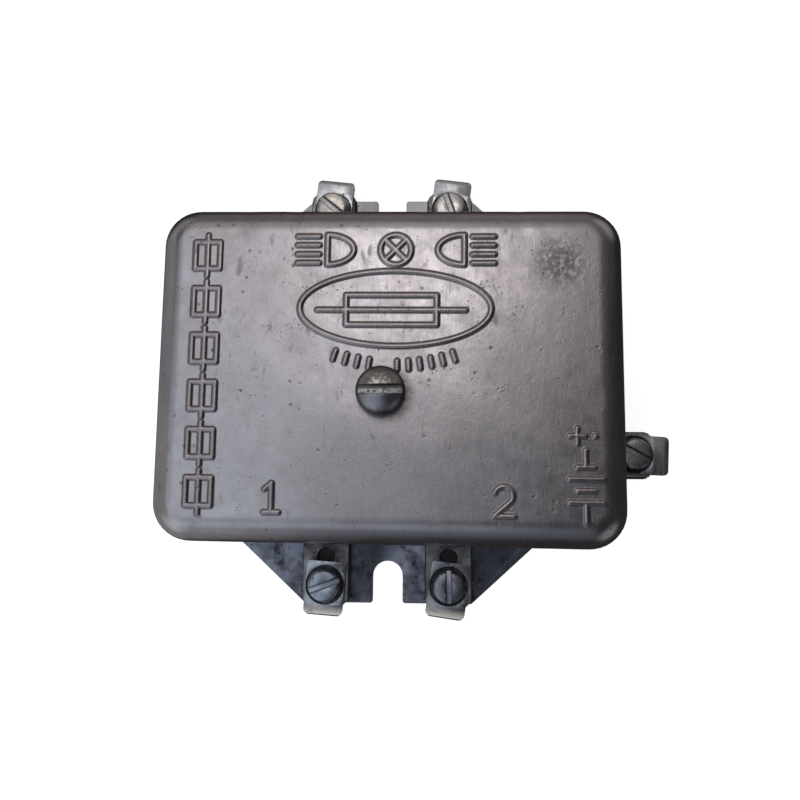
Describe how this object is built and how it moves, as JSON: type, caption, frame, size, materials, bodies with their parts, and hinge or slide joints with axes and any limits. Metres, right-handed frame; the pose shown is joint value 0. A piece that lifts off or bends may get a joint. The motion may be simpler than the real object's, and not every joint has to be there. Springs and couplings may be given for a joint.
{
  "type": "fuse box",
  "caption": "Vehicle fuse box: pressed steel cover held by one screw over glass fuses in spring clips, with screw terminals on an insulating board and a slotted base plate.",
  "frame": {"origin": "middle of the base plate, on its back face", "axes": "+Z out of the cover's face, +Y along the line through the two mounting slots, +X towards the supply terminal"},
  "size_m": [0.1235, 0.1116, 0.0301],
  "materials": {
    "plated_steel": "dull zinc plate, stained",
    "cover_steel": "bare satin steel, faintly brushed and pitted",
    "strip_metal": "tinned, tarnished",
    "clamp_zinc": "bright zinc plate",
    "zinc_screw": "zinc plate, worn at the slot",
    "brass": "plain brass",
    "spring_brass": "spring brass, lightly tarnished",
    "nickel_cap": "nickel plate",
    "phenolic": "dark brown phenolic board",
    "fuse_glass": "clear glass"
  },
  "bodies": {
    "base": {"base_plate": "plated_steel", "insulator_board": "phenolic", "cover_post": "plated_steel", "bus_bar": "strip_metal", "terminal_strip_upper_left": "strip_metal", "terminal_strip_upper_right": "strip_metal", "terminal_strip_lower_left": "strip_metal", "terminal_strip_lower_right": "strip_metal", "terminal_nut_upper_left": "brass", "terminal_nut_upper_right": "brass", "terminal_nut_lower_left": "brass", "terminal_nut_lower_right": "brass", "terminal_nut_battery": "brass", "fuse_clip_upper_left_inner": "spring_brass", "fuse_clip_upper_left_outer": "spring_brass", "fuse_clip_upper_right_inner": "spring_brass", "fuse_clip_upper_right_outer": "spring_brass", "fuse_clip_lower_left_inner": "spring_brass", "fuse_clip_lower_left_outer": "spring_brass", "fuse_clip_lower_right_inner": "spring_brass", "fuse_clip_lower_right_outer": "spring_brass", "clip_rivet_upper_left_inner": "brass", "clip_rivet_upper_left_outer": "brass", "clip_rivet_upper_right_inner": "brass", "clip_rivet_upper_right_outer": "brass", "clip_rivet_lower_left_inner": "brass", "clip_rivet_lower_left_outer": "brass", "clip_rivet_lower_right_inner": "brass", "clip_rivet_lower_right_outer": "brass", "board_rivet_1": "brass", "board_rivet_2": "brass", "board_rivet_3": "brass", "board_rivet_4": "brass"},
    "cover": {"cover": "cover_steel"},
    "cover_washer": {"cover_washer": "zinc_screw"},
    "cover_screw": {"cover_screw": "zinc_screw"},
    "clamp_upper_left": {"clamp_upper_left": "clamp_zinc"},
    "terminal_screw_upper_left": {"terminal_screw_upper_left": "zinc_screw"},
    "clamp_upper_right": {"clamp_upper_right": "clamp_zinc"},
    "terminal_screw_upper_right": {"terminal_screw_upper_right": "zinc_screw"},
    "clamp_lower_left": {"clamp_lower_left": "clamp_zinc"},
    "terminal_screw_lower_left": {"terminal_screw_lower_left": "zinc_screw"},
    "clamp_lower_right": {"clamp_lower_right": "clamp_zinc"},
    "terminal_screw_lower_right": {"terminal_screw_lower_right": "zinc_screw"},
    "clamp_battery": {"clamp_battery": "clamp_zinc"},
    "terminal_screw_battery": {"terminal_screw_battery": "zinc_screw"},
    "fuse_upper_left": {"fuse_glass_upper_left": "fuse_glass", "fuse_cap_upper_left_a": "nickel_cap", "fuse_cap_upper_left_b": "nickel_cap"},
    "fuse_upper_right": {"fuse_glass_upper_right": "fuse_glass", "fuse_cap_upper_right_a": "nickel_cap", "fuse_cap_upper_right_b": "nickel_cap"},
    "fuse_lower_left": {"fuse_glass_lower_left": "fuse_glass", "fuse_cap_lower_left_a": "nickel_cap", "fuse_cap_lower_left_b": "nickel_cap"},
    "fuse_lower_right": {"fuse_glass_lower_right": "fuse_glass", "fuse_cap_lower_right_a": "nickel_cap", "fuse_cap_lower_right_b": "nickel_cap"}
  },
  "joints": [
    {"name": "cover_lift", "type": "slide", "parent": "base", "child": "cover", "axis": [0, 0, 1], "range_m": [0, 0.04]},
    {"name": "cover_washer_rise", "type": "slide", "parent": "cover", "child": "cover_washer", "axis": [0, 0, 1], "range_m": [0, 0.008]},
    {"name": "cover_screw_turn", "type": "hinge", "parent": "cover_washer", "child": "cover_screw", "pos_m": [-0.0011, -0.0025, 0.0268], "axis": [0, 0, 1], "range_deg": [0, 2880]},
    {"name": "clamp_upper_left_rise", "type": "slide", "parent": "base", "child": "clamp_upper_left", "axis": [0, 0, 1], "range_m": [0, 0.0021]},
    {"name": "terminal_screw_upper_left_turn", "type": "hinge", "parent": "clamp_upper_left", "child": "terminal_screw_upper_left", "pos_m": [-0.015, 0.0473, 0.0075], "axis": [0, 0, 1], "range_deg": [0, 1080]},
    {"name": "clamp_upper_right_rise", "type": "slide", "parent": "base", "child": "clamp_upper_right", "axis": [0, 0, 1], "range_m": [0, 0.0021]},
    {"name": "terminal_screw_upper_right_turn", "type": "hinge", "parent": "clamp_upper_right", "child": "terminal_screw_upper_right", "pos_m": [0.015, 0.0473, 0.0075], "axis": [0, 0, 1], "range_deg": [0, 1080]},
    {"name": "clamp_lower_left_rise", "type": "slide", "parent": "base", "child": "clamp_lower_left", "axis": [0, 0, 1], "range_m": [0, 0.0021]},
    {"name": "terminal_screw_lower_left_turn", "type": "hinge", "parent": "clamp_lower_left", "child": "terminal_screw_lower_left", "pos_m": [-0.015, -0.0473, 0.0075], "axis": [0, 0, 1], "range_deg": [0, 1080]},
    {"name": "clamp_lower_right_rise", "type": "slide", "parent": "base", "child": "clamp_lower_right", "axis": [0, 0, 1], "range_m": [0, 0.0021]},
    {"name": "terminal_screw_lower_right_turn", "type": "hinge", "parent": "clamp_lower_right", "child": "terminal_screw_lower_right", "pos_m": [0.015, -0.0473, 0.0075], "axis": [0, 0, 1], "range_deg": [0, 1080]},
    {"name": "clamp_battery_rise", "type": "slide", "parent": "base", "child": "clamp_battery", "axis": [0, 0, 1], "range_m": [0, 0.0021]},
    {"name": "terminal_screw_battery_turn", "type": "hinge", "parent": "clamp_battery", "child": "terminal_screw_battery", "pos_m": [0.0602, -0.015, 0.0075], "axis": [0, 0, 1], "range_deg": [0, 1080]},
    {"name": "fuse_upper_left_pull", "type": "slide", "parent": "base", "child": "fuse_upper_left", "axis": [0, 0, 1], "range_m": [0, 0.0095]},
    {"name": "fuse_upper_right_pull", "type": "slide", "parent": "base", "child": "fuse_upper_right", "axis": [0, 0, 1], "range_m": [0, 0.0095]},
    {"name": "fuse_lower_left_pull", "type": "slide", "parent": "base", "child": "fuse_lower_left", "axis": [0, 0, 1], "range_m": [0, 0.0095]},
    {"name": "fuse_lower_right_pull", "type": "slide", "parent": "base", "child": "fuse_lower_right", "axis": [0, 0, 1], "range_m": [0, 0.0095]}
  ],
  "couplings": [
    {"joint": "cover_screw_turn", "follows": "cover_washer_rise", "rad_per_m": 6283.2},
    {"joint": "terminal_screw_upper_left_turn", "follows": "clamp_upper_left_rise", "rad_per_m": 8976},
    {"joint": "terminal_screw_upper_right_turn", "follows": "clamp_upper_right_rise", "rad_per_m": 8976},
    {"joint": "terminal_screw_lower_left_turn", "follows": "clamp_lower_left_rise", "rad_per_m": 8976},
    {"joint": "terminal_screw_lower_right_turn", "follows": "clamp_lower_right_rise", "rad_per_m": 8976},
    {"joint": "terminal_screw_battery_turn", "follows": "clamp_battery_rise", "rad_per_m": 8976}
  ]
}
